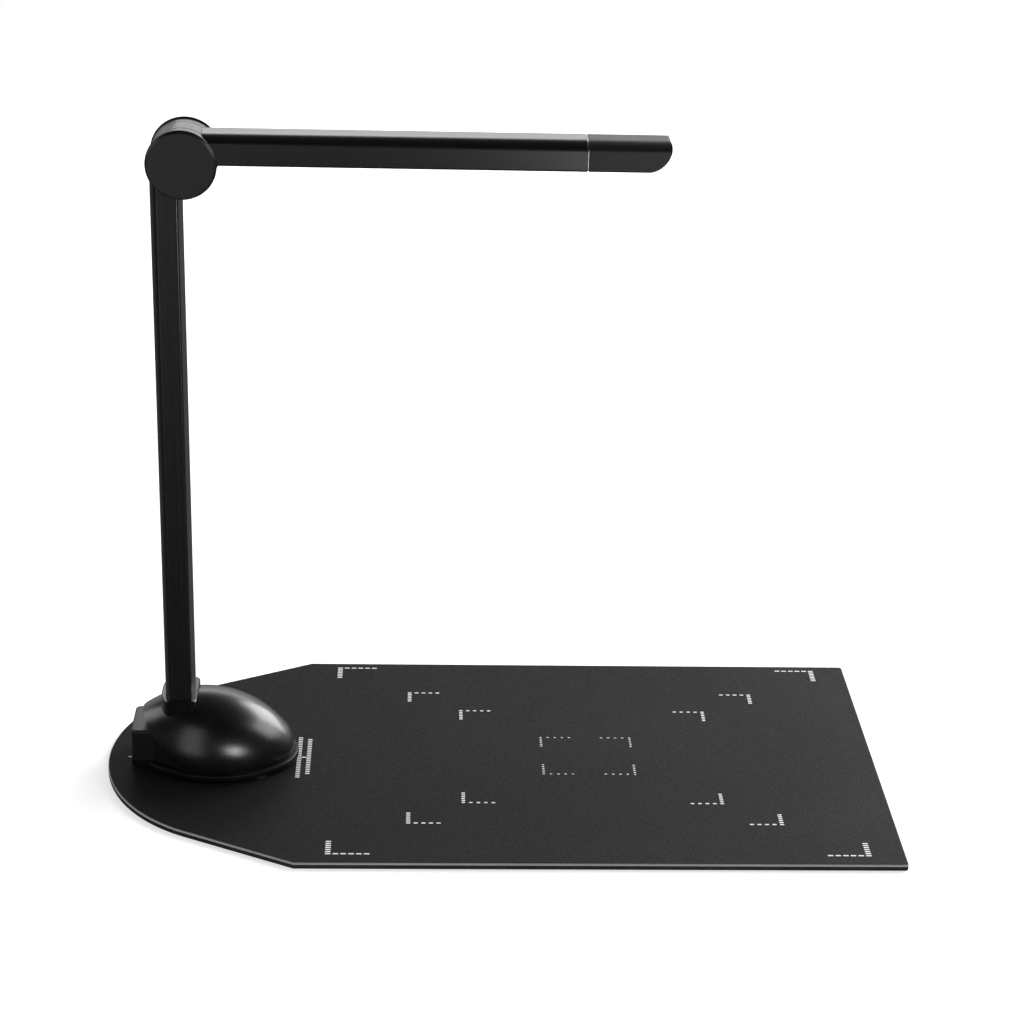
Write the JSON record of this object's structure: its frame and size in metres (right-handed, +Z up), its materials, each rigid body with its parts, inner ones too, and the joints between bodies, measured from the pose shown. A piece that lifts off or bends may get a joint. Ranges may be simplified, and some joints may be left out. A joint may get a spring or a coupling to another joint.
{
  "type": "document camera",
  "caption": "Folding document camera: a crowned mast and arm on an egg-shaped base, standing on a black work mat printed with paper-size corner marks.",
  "frame": {"origin": "on the underside of the mat, under the middle of its length and width", "axes": "+X along the open arm, away from the mast; +Y across the mat; +Z up"},
  "size_m": [0.444, 0.224, 0.3792],
  "materials": {
    "mat_rubber": "matt, closed-cell black rubber",
    "mat_leatherette": "fine-grained black leatherette, low sheen",
    "base_gloss": "polished black ABS",
    "foot_rubber": "soft black rubber",
    "dome_gloss": "glossy black ABS moulding",
    "housing_plastic": "fine-textured black ABS",
    "cast_iron": "raw casting",
    "nylon": "natural nylon",
    "circuit_board": "green solder mask on glass-epoxy",
    "chip_epoxy": "black moulding compound",
    "plated_steel": "tin-plated folded sheet",
    "button_plastic": "satin black cap",
    "screw_steel": "zinc-plated",
    "die_cast": "as cast",
    "collar_gloss": "glossy black trim ring",
    "satin_aluminium": "satin black coated extrusion with fine drawing lines",
    "cable_sheath": "flat black cable",
    "elbow_paint": "satin black casting",
    "bronze": "sintered bronze bush",
    "cap_plastic": "satin black cap",
    "head_plastic": "satin black moulding",
    "lens_ring_gloss": "gloss black bezel",
    "lens_glass": "coated glass",
    "sensor_glass": "cover glass on the sensor",
    "led_phosphor": "yellow phosphor lens",
    "frosted_window": "frosted clear acrylic"
  },
  "bodies": {
    "mat": {"mat_backing": "mat_rubber", "mat_leatherette": "mat_leatherette"},
    "stand": {"base_plate": "base_gloss", "rubber_feet": "foot_rubber", "base_dome": "dome_gloss", "rear_housing": "housing_plastic", "ballast_weight": "cast_iron", "board_posts": "nylon", "control_board": "circuit_board", "board_chips": "chip_epoxy", "socket_board": "circuit_board", "usb_socket": "plated_steel", "lamp_switch": "chip_epoxy", "base_screws": "screw_steel", "mast_foot": "die_cast", "foot_screws": "screw_steel", "mast_collar": "collar_gloss", "mast_tube": "satin_aluminium", "mast_wiring": "cable_sheath", "mast_fork": "elbow_paint", "hinge_pin": "screw_steel", "friction_washers": "nylon", "spring_washer": "screw_steel", "hinge_nut": "screw_steel", "elbow_cap_front": "cap_plastic", "elbow_cap_rear": "cap_plastic"},
    "arm": {"arm_knuckle": "elbow_paint", "hinge_bush": "bronze", "arm_tube": "satin_aluminium", "arm_wiring": "cable_sheath", "head_spigot": "die_cast", "head_shell": "head_plastic", "head_cover": "head_plastic", "head_screws": "screw_steel", "lens_ring": "lens_ring_gloss", "lens_barrel": "chip_epoxy", "lens_glass": "lens_glass", "image_sensor": "sensor_glass", "camera_board": "circuit_board", "led_board": "circuit_board", "leds": "led_phosphor", "led_window": "frosted_window"},
    "button": {"lamp_button": "button_plastic"}
  },
  "joints": [
    {"name": "camera_lift", "type": "slide", "parent": "mat", "child": "stand", "axis": [0, 0, 1], "range_m": [0, 0.04]},
    {"name": "elbow_fold", "type": "hinge", "parent": "stand", "child": "arm", "pos_m": [-0.1705, 0, 0.3606], "axis": [0, 1, 0], "range_deg": [0, 90]},
    {"name": "button_press", "type": "slide", "parent": "stand", "child": "button", "axis": [1, 0, 0], "range_m": [0, 0.0006], "stiffness_N_per_m": 600}
  ]
}
